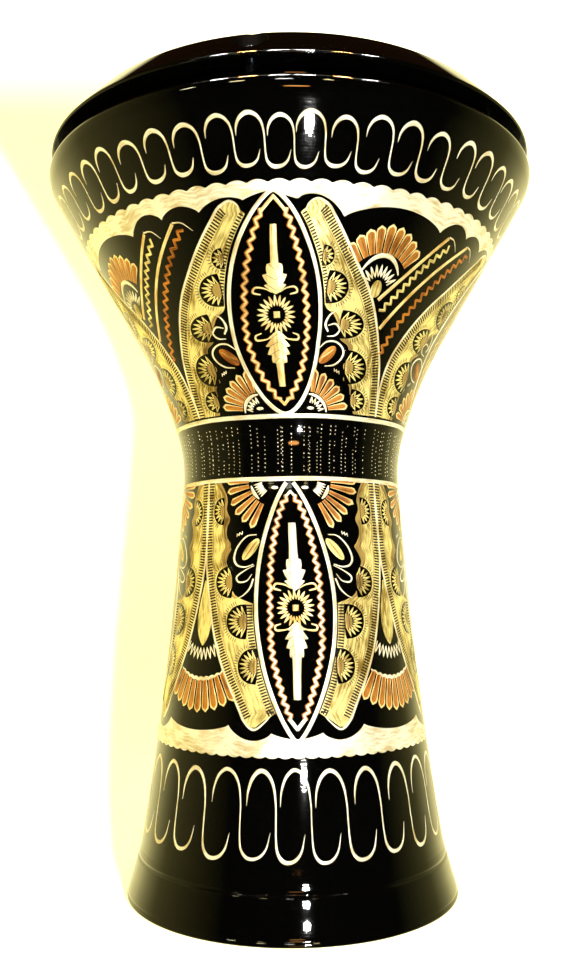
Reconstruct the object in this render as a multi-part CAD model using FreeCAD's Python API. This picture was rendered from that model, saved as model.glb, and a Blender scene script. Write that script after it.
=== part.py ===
import FreeCAD, Part
import math
import os

# A darbuka: a goblet drum with a cast aluminium shell, whose drumhead is pulled over a bearing
# wall by a tuning ring and six screws. Millimetres and degrees. The drum stands on its foot at
# z = 0, its axis is the Z axis, and angles about it are counted from -Y towards +X.

Vector = FreeCAD.Vector

# Shell: wall, and the outside as a chain of tangent arcs. Each station is a height and the lean
# of the wall there, from vertical, positive where the shell widens upwards.
WALL = 4.0
FOOT_RADIUS = 98.1
FOOT_EDGE_ROUND = 1.5
STATIONS = [
    (0.0, -16.3),
    (26.4, -16.3),
    (34.4, -9.7),
    (239.0, -4.1),
    (264.9, 14.5),
    (322.1, 29.8),
    (405.0, 30.2),
    (411.15, 8.0),
]
RIM_EDGE_ROUND = 2.5

# Deck inside the rim, and the wall on it that carries the drumhead.
DECK_TOP = 414.0
DECK_THICKNESS = 5.0
BEARING_INNER_RADIUS = 109.5
BEARING_OUTER_RADIUS = 113.5
BEARING_CREST = 441.0

# Tuning screws: M6 with a low socket head, in steel inserts pressed into bosses under the deck.
SCREW_COUNT = 6
SCREW_CIRCLE_RADIUS = 127.0
FIRST_SCREW_ANGLE = -8.0
SCREW_RADIUS = 2.95
SCREW_LENGTH = 25.0
HEAD_RADIUS = 5.0
HEAD_HEIGHT = 4.0
HEAD_EDGE_ROUND = 0.5
SOCKET_FLATS = 4.0
SOCKET_DEPTH = 2.5
TIP_CHAMFER = 0.8
WASHER_RADIUS = 6.0
WASHER_THICKNESS = 1.0
INSERT_RADIUS = 4.5
INSERT_BORE_RADIUS = 3.0
INSERT_LENGTH = 12.0
BOSS_RADIUS = 9.0
BOSS_BOTTOM = 397.0
CLEARANCE_HOLE_RADIUS = 3.3
HOLE_OVERRUN = 0.5

# Tuning ring: a collar round the flesh hoop under a lip that presses on it, and a wide flange
# whose top slopes down to the rim at 45 degrees.
RING_INNER_RADIUS = 116.6
RING_TOP = 443.0
RING_TOP_ROUND = 1.8
RING_CREST_RADIUS = 119.5
RING_OUTER_RADIUS = 138.0
RING_FLANGE_BOTTOM = 423.0
RING_COLLAR_BOTTOM = 419.0
RING_COLLAR_INNER_RADIUS = 119.1
RING_COLLAR_OUTER_RADIUS = 122.0
RING_LIP_BOTTOM = 430.3
POCKET_RADIUS = 6.5
POCKET_FLOOR = 425.5
POCKET_MOUTH_RADIUS = 8.5
POCKET_MOUTH_FLOOR = 434.0

# Flesh hoop: a channel that holds the edge of the film.
HOOP_INNER_RADIUS = 114.2
HOOP_OUTER_RADIUS = 118.8
HOOP_BOTTOM = 423.5
HOOP_TOP = 430.0
GROOVE_INNER_RADIUS = 115.1
GROOVE_OUTER_RADIUS = 116.0
GROOVE_BOTTOM = 424.7

# Drumhead film: flat across the bearing wall, over its crest, and down into the hoop's groove. Its
# upright tail reaches far enough above the hoop for the hoop's whole travel.
FILM_THICKNESS = 0.3
FILM_CLEARANCE = 0.05
FILM_SKIRT_LEAN = 16.4
FILM_TAIL_TOP = 433.2
FILM_BOTTOM = 427.8

OVERCUT = 5.0


class HalfSection:
    """A closed outline in radius and height, which is turned about the drum's axis."""

    def __init__(self, radius, height):
        self.start = (radius, height)
        self.end = self.start
        self.edges = []

    def line(self, radius, height):
        edge = Part.LineSegment(flat(self.end), flat((radius, height))).toShape()
        self.edges.append(edge)
        self.end = (radius, height)

    def arc(self, middle, end):
        edge = Part.Arc(flat(self.end), flat(middle), flat(end)).toShape()
        self.edges.append(edge)
        self.end = end

    def turned(self):
        self.line(*self.start)
        face = Part.Face(Part.Wire(self.edges))
        return face.revolve(Vector(0, 0, 0), Vector(0, 0, 1), 360)


def flat(place):
    """The point in the XZ plane at a (radius, height)."""
    return Vector(place[0], 0, place[1])


def on_circle(centre, radius, angle):
    """The (radius, height) at an angle from horizontal on a circle in the half-section."""
    turn = math.radians(angle)
    return (centre[0] + radius * math.cos(turn), centre[1] + radius * math.sin(turn))


def cylinder(radius, bottom, top, centre=Vector(0, 0, 0)):
    return Part.makeCylinder(radius, top - bottom, centre + Vector(0, 0, bottom))


def tube(outer_radius, inner_radius, bottom, top, centre=Vector(0, 0, 0)):
    outer = cylinder(outer_radius, bottom, top, centre)
    return outer.cut(cylinder(inner_radius, bottom - OVERCUT, top + OVERCUT, centre))


def screw_centres():
    """The screws' axes, in order round the drum."""
    centres = []
    for number in range(SCREW_COUNT):
        angle = math.radians(FIRST_SCREW_ANGLE + number * 360.0 / SCREW_COUNT)
        x = SCREW_CIRCLE_RADIUS * math.sin(angle)
        y = -SCREW_CIRCLE_RADIUS * math.cos(angle)
        centres.append(Vector(x, y, 0))
    return centres


def wall_chain():
    """The outside as (radius, height, lean) at each station and half way along each arc."""
    radius = FOOT_RADIUS
    chain = [(radius, STATIONS[0][0], math.radians(STATIONS[0][1]))]
    for (low, low_lean), (high, high_lean) in zip(STATIONS, STATIONS[1:]):
        first = math.radians(low_lean)
        last = math.radians(high_lean)
        middle = (first + last) / 2
        if low_lean == high_lean:
            run = (high - low) * math.tan(first)
            chain.append((radius + run / 2, (low + high) / 2, middle))
            radius = radius + run
        else:
            bend = (high - low) / (math.sin(last) - math.sin(first))
            middle_radius = radius + bend * (math.cos(first) - math.cos(middle))
            middle_height = low + bend * (math.sin(middle) - math.sin(first))
            chain.append((middle_radius, middle_height, middle))
            radius = radius + bend * (math.cos(first) - math.cos(last))
        chain.append((radius, high, last))
    return chain


def inside(place):
    """The (radius, height) one wall thickness inside a place on the chain."""
    radius, height, lean = place
    return (radius - WALL * math.cos(lean), height + WALL * math.sin(lean))


def outer_wall(section, chain):
    """Draws the outside from the foot's rounded edge to the rim's rounded edge."""
    foot_lean = chain[0][2]
    edge_radius = FOOT_RADIUS + FOOT_EDGE_ROUND * math.tan(foot_lean)
    centre = (edge_radius - FOOT_EDGE_ROUND, FOOT_EDGE_ROUND)
    section.arc(on_circle(centre, FOOT_EDGE_ROUND, -45), (edge_radius, FOOT_EDGE_ROUND))
    section.line(chain[2][0], chain[2][1])
    for middle, end in zip(chain[3::2], chain[4::2]):
        section.arc(middle[:2], end[:2])
    rim_radius, rim_height, rim_lean = chain[-1]
    centre = (
        rim_radius - RIM_EDGE_ROUND * math.cos(rim_lean),
        rim_height + RIM_EDGE_ROUND * math.sin(rim_lean),
    )
    half_turn = (90 - math.degrees(rim_lean)) / 2
    section.arc(on_circle(centre, RIM_EDGE_ROUND, half_turn), (centre[0], DECK_TOP))


def shell_body():
    """The goblet, its deck and its bearing wall, in one casting."""
    chain = wall_chain()
    foot_inner_radius = FOOT_RADIUS - WALL / math.cos(chain[0][2])
    foot_flat_radius = FOOT_RADIUS + FOOT_EDGE_ROUND * (math.tan(chain[0][2]) - 1)
    section = HalfSection(foot_flat_radius, 0)
    outer_wall(section, chain)

    crest_round = (BEARING_OUTER_RADIUS - BEARING_INNER_RADIUS) / 2
    crest_centre = (BEARING_INNER_RADIUS + crest_round, BEARING_CREST - crest_round)
    section.line(BEARING_OUTER_RADIUS, DECK_TOP)
    section.line(BEARING_OUTER_RADIUS, crest_centre[1])
    section.arc((crest_centre[0], BEARING_CREST), (BEARING_INNER_RADIUS, crest_centre[1]))
    deck_bottom = DECK_TOP - DECK_THICKNESS
    section.line(BEARING_INNER_RADIUS, deck_bottom)

    cone_top = inside(chain[-3])
    section.line(cone_top[0], deck_bottom)
    section.line(*cone_top)
    for middle, end in zip(chain[-4:2:-2], chain[-5:1:-2]):
        section.arc(inside(middle), inside(end))
    section.line(foot_inner_radius, 0)
    return section.turned()


def wall_envelope():
    """Everything inside the outside of the wall, to trim the bosses to it."""
    chain = wall_chain()
    section = HalfSection(0, BOSS_BOTTOM - OVERCUT)
    cone_bottom = chain[-5]
    lean = chain[-3][2]
    trim = WALL / 2
    rise = BOSS_BOTTOM - OVERCUT - cone_bottom[1]
    section.line(cone_bottom[0] + rise * math.tan(lean) - trim, BOSS_BOTTOM - OVERCUT)
    section.line(chain[-3][0] - trim, chain[-3][1])
    section.line(chain[-3][0] - trim, DECK_TOP)
    section.line(0, DECK_TOP)
    return section.turned()


def shell():
    envelope = wall_envelope()
    boss_top = DECK_TOP - DECK_THICKNESS / 2
    insert_bottom = DECK_TOP - INSERT_LENGTH
    bosses = []
    holes = []
    for centre in screw_centres():
        bosses.append(cylinder(BOSS_RADIUS, BOSS_BOTTOM, boss_top, centre).common(envelope))
        holes.append(cylinder(INSERT_RADIUS, insert_bottom, DECK_TOP + OVERCUT, centre))
        low_end = BOSS_BOTTOM - HOLE_OVERRUN
        holes.append(cylinder(CLEARANCE_HOLE_RADIUS, low_end, insert_bottom + OVERCUT, centre))
    return shell_body().multiFuse(bosses).cut(holes)


def threaded_insert(centre):
    return tube(INSERT_RADIUS, INSERT_BORE_RADIUS, DECK_TOP - INSERT_LENGTH, DECK_TOP, centre)


def ring_body():
    section = HalfSection(RING_COLLAR_INNER_RADIUS, RING_COLLAR_BOTTOM)
    section.line(RING_COLLAR_INNER_RADIUS, RING_LIP_BOTTOM)
    section.line(RING_INNER_RADIUS, RING_LIP_BOTTOM)
    section.line(RING_INNER_RADIUS, RING_TOP - RING_TOP_ROUND)
    centre = (RING_INNER_RADIUS + RING_TOP_ROUND, RING_TOP - RING_TOP_ROUND)
    section.arc(on_circle(centre, RING_TOP_ROUND, 135), (centre[0], RING_TOP))
    section.line(RING_CREST_RADIUS, RING_TOP)
    slope_drop = RING_OUTER_RADIUS - RING_CREST_RADIUS
    edge_top = RING_TOP - slope_drop
    section.line(RING_OUTER_RADIUS, edge_top)
    section.line(RING_OUTER_RADIUS, RING_FLANGE_BOTTOM)
    section.line(RING_COLLAR_OUTER_RADIUS, RING_FLANGE_BOTTOM)
    section.line(RING_COLLAR_OUTER_RADIUS, RING_COLLAR_BOTTOM)
    return section.turned()


def tuning_ring():
    ring = ring_body()
    for centre in screw_centres():
        ring = ring.cut(cylinder(POCKET_MOUTH_RADIUS, POCKET_MOUTH_FLOOR, RING_TOP + OVERCUT, centre))
        ring = ring.cut(cylinder(POCKET_RADIUS, POCKET_FLOOR, RING_TOP + OVERCUT, centre))
        hole_bottom = RING_COLLAR_BOTTOM - OVERCUT
        hole_top = POCKET_FLOOR + OVERCUT
        ring = ring.cut(cylinder(CLEARANCE_HOLE_RADIUS, hole_bottom, hole_top, centre))
    return ring


def flesh_hoop():
    hoop = tube(HOOP_OUTER_RADIUS, HOOP_INNER_RADIUS, HOOP_BOTTOM, HOOP_TOP)
    groove = tube(GROOVE_OUTER_RADIUS, GROOVE_INNER_RADIUS, GROOVE_BOTTOM, HOOP_TOP + OVERCUT)
    return hoop.cut(groove)


def drumhead_film():
    """The film's half-section: its underside outwards, the tail, and its top side inwards."""
    crest_round = (BEARING_OUTER_RADIUS - BEARING_INNER_RADIUS) / 2
    centre = (BEARING_INNER_RADIUS + crest_round, BEARING_CREST - crest_round)
    under = crest_round + FILM_CLEARANCE
    over = under + FILM_THICKNESS
    lean = math.radians(FILM_SKIRT_LEAN)
    under_corner = on_circle(centre, under, FILM_SKIRT_LEAN)
    over_corner = on_circle(centre, over, FILM_SKIRT_LEAN)
    half_turn = (90 + FILM_SKIRT_LEAN) / 2
    tail_inner_radius = under_corner[0] + (under_corner[1] - FILM_TAIL_TOP) * math.tan(lean)
    tail_outer_radius = tail_inner_radius + FILM_THICKNESS
    skirt_end = over_corner[1] - (tail_outer_radius - over_corner[0]) / math.tan(lean)

    section = HalfSection(0, centre[1] + under)
    section.line(centre[0], centre[1] + under)
    section.arc(on_circle(centre, under, half_turn), under_corner)
    section.line(tail_inner_radius, FILM_TAIL_TOP)
    section.line(tail_inner_radius, FILM_BOTTOM)
    section.line(tail_outer_radius, FILM_BOTTOM)
    section.line(tail_outer_radius, skirt_end)
    section.line(*over_corner)
    section.arc(on_circle(centre, over, half_turn), (centre[0], centre[1] + over))
    section.line(0, centre[1] + over)
    return section.turned()


def washer(centre):
    top = POCKET_FLOOR + WASHER_THICKNESS
    return tube(WASHER_RADIUS, CLEARANCE_HOLE_RADIUS, POCKET_FLOOR, top, centre)


def tuning_screw(centre):
    """The screw is turned about its own axis, so its half-section is moved to that axis."""
    seat = POCKET_FLOOR + WASHER_THICKNESS
    top = seat + HEAD_HEIGHT
    tip = seat - SCREW_LENGTH
    section = HalfSection(0, tip)
    section.line(SCREW_RADIUS - TIP_CHAMFER, tip)
    section.line(SCREW_RADIUS, tip + TIP_CHAMFER)
    section.line(SCREW_RADIUS, seat)
    section.line(HEAD_RADIUS, seat)
    section.line(HEAD_RADIUS, top - HEAD_EDGE_ROUND)
    round_centre = (HEAD_RADIUS - HEAD_EDGE_ROUND, top - HEAD_EDGE_ROUND)
    section.arc(on_circle(round_centre, HEAD_EDGE_ROUND, 45), (round_centre[0], top))
    section.line(0, top)
    screw = section.turned()

    corner_radius = SOCKET_FLATS / math.sqrt(3)
    corners = []
    for corner in range(7):
        turn = math.radians(60 * corner)
        x = corner_radius * math.cos(turn)
        y = corner_radius * math.sin(turn)
        corners.append(Vector(x, y, top - SOCKET_DEPTH))
    socket = Part.Face(Part.makePolygon(corners)).extrude(Vector(0, 0, SOCKET_DEPTH + OVERCUT))
    screw = screw.cut(socket)
    screw.translate(centre)
    return screw


def save(node, shape):
    solids = shape.Solids
    solid = solids[0] if len(solids) == 1 else shape
    print(node, "valid", solid.isValid(), "solids", len(solids), "cm3", round(solid.Volume / 1000, 3))
    solid.exportStep("parts/" + node + ".step")


def main():
    os.makedirs("parts", exist_ok=True)
    save("shell", shell())
    save("tuning_ring", tuning_ring())
    save("flesh_hoop", flesh_hoop())
    save("drumhead_film", drumhead_film())
    for number, centre in enumerate(screw_centres(), start=1):
        save("threaded_insert_%d" % number, threaded_insert(centre))
        save("washer_%d" % number, washer(centre))
        save("tuning_screw_%d" % number, tuning_screw(centre))


main()
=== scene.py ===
import math
import random

import bpy
import numpy as np
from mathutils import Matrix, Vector

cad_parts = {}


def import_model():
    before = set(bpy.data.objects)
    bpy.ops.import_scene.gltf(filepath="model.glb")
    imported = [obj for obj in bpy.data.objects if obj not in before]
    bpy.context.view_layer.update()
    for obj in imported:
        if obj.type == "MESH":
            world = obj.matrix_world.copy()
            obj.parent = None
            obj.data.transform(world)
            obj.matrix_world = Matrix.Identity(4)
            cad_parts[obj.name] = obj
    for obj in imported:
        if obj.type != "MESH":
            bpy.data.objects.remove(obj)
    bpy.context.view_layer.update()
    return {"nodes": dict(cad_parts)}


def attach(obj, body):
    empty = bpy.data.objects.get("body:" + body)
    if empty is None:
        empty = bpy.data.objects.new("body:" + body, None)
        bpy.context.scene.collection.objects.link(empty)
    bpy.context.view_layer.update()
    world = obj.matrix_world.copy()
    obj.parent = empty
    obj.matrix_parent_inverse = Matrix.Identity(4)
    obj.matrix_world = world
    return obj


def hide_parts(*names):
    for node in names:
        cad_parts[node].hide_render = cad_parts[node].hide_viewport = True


# The looks of a darbuka, a goblet drum in black lacquer with bright-cut engraving. Engraved work
# is drawn flat, as (angle, height) spots in degrees and millimetres: angle 0 is the side that
# faces -Y and angles grow towards +X. It is then laid on the shell's wall.

MM = 0.001

# ---------------------------------------------------------------- the shell's outside
# The same chain of tangent arcs as the solid: heights and the wall's lean from vertical there.
FOOT_RADIUS = 98.1
FOOT_EDGE_ROUND = 1.5
RIM_EDGE_ROUND = 2.5
CONE_TOP = 405.0
STATIONS = [
    (0.0, -16.3),
    (26.4, -16.3),
    (34.4, -9.7),
    (239.0, -4.1),
    (264.9, 14.5),
    (322.1, 29.8),
    (CONE_TOP, 30.2),
    (411.15, 8.0),
]
TABLE_STEP = 0.25

WALL = 4.0
DECK_TOP = 414.0
DECK_BOTTOM = 409.0
DECK_SEAM_RADIUS = 133.8
BEARING_INNER_RADIUS = 109.5
BEARING_OUTER_RADIUS = 113.5
BEARING_CREST = 441.0
SCREWS = 6
SCREW_CIRCLE_RADIUS = 127.0
FIRST_SCREW_ANGLE = -8.0
INSERT_RADIUS = 4.5
INSERT_BOTTOM = 402.0
CLEARANCE_RADIUS = 3.3
RELIEF_RADIUS = 3.9
WALL_SEGMENTS = 360
TURNED_SEGMENTS = 512
BOSS_RADIUS = 9.0
BOSS_BOTTOM = 397.0

# Turned lines on the outside near the foot: height, depth and width.
GROOVES = ((3.4, 0.28, 0.5), (24.6, 0.50, 0.95), (29.5, 0.06, 0.6), (13.0, 0.10, 4.0))


def wall_table():
    """Height, radius and lean of the outside, every quarter of a millimetre."""
    parts = []
    radius = FOOT_RADIUS
    for (low, low_lean), (high, high_lean) in zip(STATIONS, STATIONS[1:]):
        z = np.append(np.arange(low, high, TABLE_STEP), high)
        first, last = math.radians(low_lean), math.radians(high_lean)
        if first == last:
            lean = np.full_like(z, first)
            radii = radius + (z - low) * math.tan(first)
        else:
            bend = (high - low) / (math.sin(last) - math.sin(first))
            lean = np.arcsin(math.sin(first) + (z - low) / bend)
            radii = radius + bend * (math.cos(first) - np.cos(lean))
        parts.append(np.stack([z, radii, lean]))
        radius = radii[-1]
    ends = [part[:, :-1] for part in parts[:-1]]
    return np.concatenate(ends + parts[-1:], axis=1)


HEIGHTS, RADII, LEANS = wall_table()


def outward(angle):
    """The level direction away from the axis, at an angle in degrees."""
    turn = math.radians(angle)
    return np.array([math.sin(turn), -math.cos(turn)])


def radius_at(height):
    """The outside's radius in millimetres."""
    return np.interp(height, HEIGHTS, RADII)


def lean_at(height):
    """The outside's lean in radians, positive where it widens upwards."""
    return np.interp(height, HEIGHTS, LEANS)


def on_wall(spots, lift):
    """Points in metres for (angle, height) spots, lift millimetres out from the wall."""
    angle = np.radians(spots[..., 0])
    lean = lean_at(spots[..., 1])
    radius = radius_at(spots[..., 1]) + lift * np.cos(lean)
    height = spots[..., 1] - lift * np.sin(lean)
    return np.stack([radius * np.sin(angle), -radius * np.cos(angle), height], -1) * MM


# ---------------------------------------------------------------- lines on the wall
def gaps(path):
    """Lengths in millimetres along the wall between neighbouring spots of a path."""
    middle = (path[1:, 1] + path[:-1, 1]) / 2
    across = np.radians(np.diff(path[:, 0])) * radius_at(middle)
    along = np.diff(path[:, 1]) / np.cos(lean_at(middle))
    return np.hypot(across, along)


def curve(knots, step=0.9):
    """A smooth line through knots; a third number in each knot is a width and is smoothed too."""
    knots = np.array(knots, float)
    ends = np.vstack([2 * knots[0] - knots[1], knots, 2 * knots[-1] - knots[-2]])
    spans = gaps(knots[:, :2])
    parts = []
    for a, b, c, d, span in zip(ends, ends[1:], ends[2:], ends[3:], spans):
        t = np.linspace(0, 1, max(3, math.ceil(span / step)), endpoint=False)[:, None]
        cubic = (3 * b - a - 3 * c + d) * t**3 + (2 * a - 5 * b + 4 * c - d) * t**2
        parts.append((cubic + (c - a) * t) / 2 + b)
    return np.vstack(parts + [knots[-1:]])


def straight(knots, step=1.5):
    """Straight runs through the knots, cut short enough to follow the wall."""
    knots = np.array(knots, float)
    parts = []
    for a, b, span in zip(knots, knots[1:], gaps(knots[:, :2])):
        t = np.linspace(0, 1, max(2, math.ceil(span / step) + 1), endpoint=False)[:, None]
        parts.append(a + (b - a) * t)
    return np.vstack(parts + [knots[-1:]])


def evenly(path, step):
    """The path's spots at even distances of about step."""
    run = np.concatenate([[0], np.cumsum(gaps(path))])
    at = np.linspace(0, run[-1], max(2, round(run[-1] / step) + 1))
    return np.stack([np.interp(at, run, path[:, k]) for k in range(path.shape[1])], 1)


def sideways(path, distance):
    """The path moved distance millimetres to its right, along the wall."""
    radius = radius_at(path[:, 1])
    slant = np.cos(lean_at(path[:, 1]))
    across = np.radians(np.gradient(path[:, 0])) * radius
    along = np.gradient(path[:, 1]) / slant
    size = np.maximum(np.hypot(across, along), 1e-9)
    angle = path[:, 0] + np.degrees(distance * along / size / radius)
    height = path[:, 1] - distance * across / size * slant
    return np.stack([angle, height], 1)


def local(points, centre, turn=0.0):
    """Points in millimetres about a centre on the wall, turned anticlockwise, as spots."""
    points = np.array(points, float)
    c, s = math.cos(math.radians(turn)), math.sin(math.radians(turn))
    x = points[:, 0] * c - points[:, 1] * s
    y = points[:, 0] * s + points[:, 1] * c
    height = centre[1] + y * np.cos(lean_at(centre[1]))
    return np.stack([centre[0] + np.degrees(x / radius_at(height)), height], 1)


def edges(left, right, up, centre, turn=0.0):
    """Two edges about a centre, from places left and right of it at each place up the wall."""
    return [local(np.stack([across, up], 1), centre, turn) for across in (left, right)]


# ---------------------------------------------------------------- marks: one cut of the graver
BASE_LIFT = 0.012
# A cut's section: share of the way across, and share of the lift there.
RIBBON = ((0.0, 0.0), (0.2, 0.8), (0.5, 1.0), (0.8, 0.8), (1.0, 0.0))


def mark(metal, left, right, lift, section):
    """A strip of metal between two edges, raised by lift times its section."""
    return {"metal": metal, "left": left, "right": right, "lift": lift, "section": section}


def stroke(metal, path, width=None, lift=0.12):
    """A cut along a path. Its width is one number, or the path's third column."""
    width = path[:, 2] if width is None else np.full(len(path), width)
    line = path[:, :2]
    return mark(metal, sideways(line, -width / 2), sideways(line, width / 2), lift, RIBBON)


def cut(metal, knots, step=0.6, lift=0.12):
    """A smooth cut through knots, each an angle, a height and a width."""
    return stroke(metal, curve(knots, step), None, lift)


def field(metal, left, right, lift, columns=4):
    """A flat area between two edges, with a small bevel at each."""
    inner = [(k / columns, 1.0) for k in range(1, columns)]
    bevel = 0.03
    section = [(0.0, 0.0), (bevel, 1.0)] + inner + [(1 - bevel, 1.0), (1.0, 0.0)]
    return mark(metal, np.array(left, float), np.array(right, float), lift, section)


def round_spots(centre, turns, across, up=None):
    """Spots round a centre at turns in radians, from half-sizes across and up the wall."""
    up = across if up is None else up
    return local(np.stack([across * np.cos(turns), up * np.sin(turns)], 1), centre)


def oval(metal, centre, size, lift, turn=0.0, rows=12):
    """A filled ellipse with half-sizes in millimetres."""
    rise = np.linspace(-90, 90, rows)
    x = size[0] * np.cos(np.radians(rise))
    y = size[1] * np.sin(np.radians(rise))
    return field(metal, *edges(-x, x, y, centre, turn), lift, 3)


def zigzag(metal, path, swing, period, width, lift=0.12):
    """A cut that swings from side to side of a path."""
    beats = evenly(path[:, :2], period / 2)
    sign = np.where(np.arange(len(beats)) % 2, 1.0, -1.0)
    corners = sideways(beats, swing * sign)
    return stroke(metal, straight(corners, 1.0), width, lift)


def rays(metal, centre, first, last, near, far, teeth, width, lift=0.12):
    """A zigzag that fans round a centre, between two angles from its right-hand side."""
    turns = np.radians(np.linspace(first, last, 2 * teeth + 1))
    reach = np.where(np.arange(len(turns)) % 2, far, near)
    return stroke(metal, straight(round_spots(centre, turns, reach), 1.2), width, lift)


def petal(centre, turn, near, far, half_width):
    """A petal that points away from a centre: a copper body in a bright edge."""
    length = far - near
    s = np.linspace(0, 1, 12)
    cap = 0.8
    body = np.where(s < cap, 0.6 + 0.4 * s / cap, 0)
    round_end = np.sqrt(np.clip(1 - ((s - cap) / (1 - cap)) ** 2, 0, 1))
    half = 0.82 * half_width * np.where(s < cap, body, round_end)
    y = near + length * s
    left, right = edges(-half, half, y, centre, turn)
    edge = np.vstack([left, right[::-1][1:]])
    edge_width = 0.25 + 1.15 * s**2.5
    edge_width = np.concatenate([edge_width, edge_width[::-1][1:]])
    inner = local(np.stack([0 * y[2:-2], y[2:-2]], 1), centre, turn)
    return [
        field("copper", left, right, 0.06, 3),
        stroke("bronze", inner, half_width * 0.24, 0.09),
        stroke("pale_gold", np.column_stack([edge, edge_width]), None, 0.12),
    ]


def leaf(metal, centre, turn, length, widest, barbs):
    """A serrated leaf whose tip is at the centre and whose barbs point away from the tip."""
    s = np.linspace(0, 1, 8 * barbs + 1)
    outline = np.sin(np.pi * s**0.8 * 0.86) ** 0.75
    tooth = (s * barbs) % 1.0
    half = widest * outline * (0.62 + 0.38 * tooth)
    half[-1] = widest * 0.3
    marks = [field(metal, *edges(-half, half, s * length, centre, turn), 0.10, 2)]
    for side in (-1, 1):
        for row in range(barbs):
            y = length * (row + 0.35) / barbs
            x = side * widest * 0.75 * outline[8 * row + 6]
            vein = local([(0, y), (x, y + length / barbs * 0.6)], centre, turn)
            marks.append(stroke("shade", straight(vein, 1.0), 0.3, 0.13))
    return marks


def sunburst(metal, centre, teeth, near, far, width):
    """A ring of zigzag rays round a small square."""
    half = np.array([1.6, 1.6])
    square = field(metal, *edges(-half, half, half * (-1, 1), centre), 0.10, 2)
    return [rays(metal, centre, 0, 360, near, far, teeth, width), square]


def eye(centre, width, height, teeth):
    """A dark half-round with a gold core and a fan of zigzag rays, and nicks round its edge."""
    rise = np.linspace(-90, 90, 17)
    c, r = np.cos(np.radians(rise)), np.sin(np.radians(rise))
    y = height / 2 * r
    bulge, flat = width * c**0.8, -0.10 * width * c
    dark = edges(flat, bulge, y, centre)
    core = edges(flat * 0.4, bulge * 0.36, y * 0.42, centre)
    turns = np.radians(np.linspace(-84, 84, 2 * teeth + 1))
    reach = np.where(np.arange(len(turns)) % 2, 0.88, 0.40)
    fan = round_spots(centre, turns, width * reach, height / 2 * reach * 1.04)
    marks = [
        field("lacquer", *dark, 0.08, 4),
        field("bronze", *core, 0.11, 3),
        stroke("gold", straight(fan, 1.2), 0.85),
    ]
    return marks + hatching(dark[1][2:-2], 1.9, pitch=1.25, inset=0.5, share=0.34)


def hatching(edge, depth, pitch=1.55, inset=0.7, share=0.66):
    """Short dark ticks across the margin on the right of an edge."""
    spots = evenly(edge[:, :2], pitch)
    ticks = zip(sideways(spots, inset), sideways(spots, inset + depth))
    return [stroke("shade", straight(tick, 1.3), pitch * share, 0.10) for tick in ticks]


# ---------------------------------------------------------------- upper zone
UPPER_LOW, UPPER_HIGH = 271.0, 369.5

UPPER_ZIGZAG = [
    (2.9, 362.0), (3.7, 359.5), (5.8, 350.0), (7.8, 340.0), (9.3, 330.0), (10.4, 320.0),
    (10.9, 310.0), (10.0, 300.0), (7.8, 290.0), (4.4, 282.0), (1.7, 277.6),
]


def upper_half_width(z):
    """Half-width in degrees of the upper medallion."""
    t = np.clip((z - UPPER_LOW) / (UPPER_HIGH - UPPER_LOW), 0, 1)
    return 15.6 * np.sin(np.pi * t**0.79) ** 0.7


def outline_heights(low, high, rows):
    """Heights from low to high that crowd towards both ends."""
    return low + (high - low) * (1 - np.cos(np.linspace(0, np.pi, rows))) / 2


def medallion_side(edge, edge_width, path, swing, period, under, bright, metal, ends):
    """Half of a medallion: its outline, the zigzag inside it and a short cut at each end."""
    return [
        stroke("silver", edge, edge_width),
        zigzag("copper", curve(path), swing, period, under, 0.08),
        zigzag(metal, curve(path), swing, period, bright),
    ] + [stroke(metal, straight(knots), width) for knots, width in ends]


def upper_medallion_side():
    """Half of the upper medallion."""
    z = outline_heights(UPPER_LOW, UPPER_HIGH, 70)
    edge = np.stack([upper_half_width(z), z], 1)
    ends = (([(-0.2, 367.4), (3.2, 361.0)], 1.6), ([(-0.2, 275.4), (2.2, 278.6)], 1.5))
    return medallion_side(edge, 2.0, UPPER_ZIGZAG, 1.15, 5.4, 2.1, 1.35, "pale_gold", ends)


# The curls beside a medallion's stem, above and below its sunburst: place and width in millimetres.
CURL_ABOVE = ((2.0, 1.6, 0.5), (5.5, 3.6, 1.1), (10.0, 4.2, 1.5), (11.2, 1.8, 1.7), (7.5, 0.6, 0.9))
CURL_BELOW = ((2.5, -1.2, 0.5), (6.0, -2.6, 1.1), (10.5, -2.8, 1.7), (11.0, -0.6, 1.5), (8.0, 0.6, 0.6))


def medallion_heart(metal, rose, reach, tree, stem_ends, stem_half):
    """The stem, leaves, curls and sunburst on a medallion's centre line."""
    tree_length, tree_half = tree
    marks = sunburst("pale_gold", (0, rose), 21, reach * 0.48, reach, 0.75)
    top = rose + reach * 0.93
    low = rose - reach * 0.85
    marks += leaf(metal, (0, top), 0, tree_length * 0.9, tree_half, 3)
    slant = math.cos(lean_at(rose))
    leaf_top = top + tree_length * 0.9 * slant
    marks += leaf(metal, (0, low + 1), 180, tree_length, tree_half, 4)
    tree_low = low + 1 - tree_length * slant
    for start, end in ((leaf_top - 1.5, stem_ends[1]), (stem_ends[0], tree_low + 1.5)):
        z = np.linspace(start, end, 8)
        half = stem_half * np.array([1.15, 1.1, 1.05, 1, 1, 0.98, 0.95, 0.9])
        half = half if start > rose else half[::-1]
        degrees = np.degrees(half / radius_at(z))
        marks.append(field(metal, np.stack([-degrees, z], 1), np.stack([degrees, z], 1), 0.10, 2))
    for side in (-1, 1):
        for base, knots in ((top, CURL_ABOVE), (low, CURL_BELOW)):
            flat = np.array(knots)
            spots = local(flat[:, :2] * (side, 1), (0, base - 0.6))
            marks.append(cut("pale_gold", np.column_stack([spots, flat[:, 2] * 0.62])))
    return marks


def edge_at(edge, heights):
    """An edge that runs downwards, at the given heights."""
    return np.stack([np.interp(heights, edge[::-1, 1], edge[::-1, 0]), heights], 1)


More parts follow.
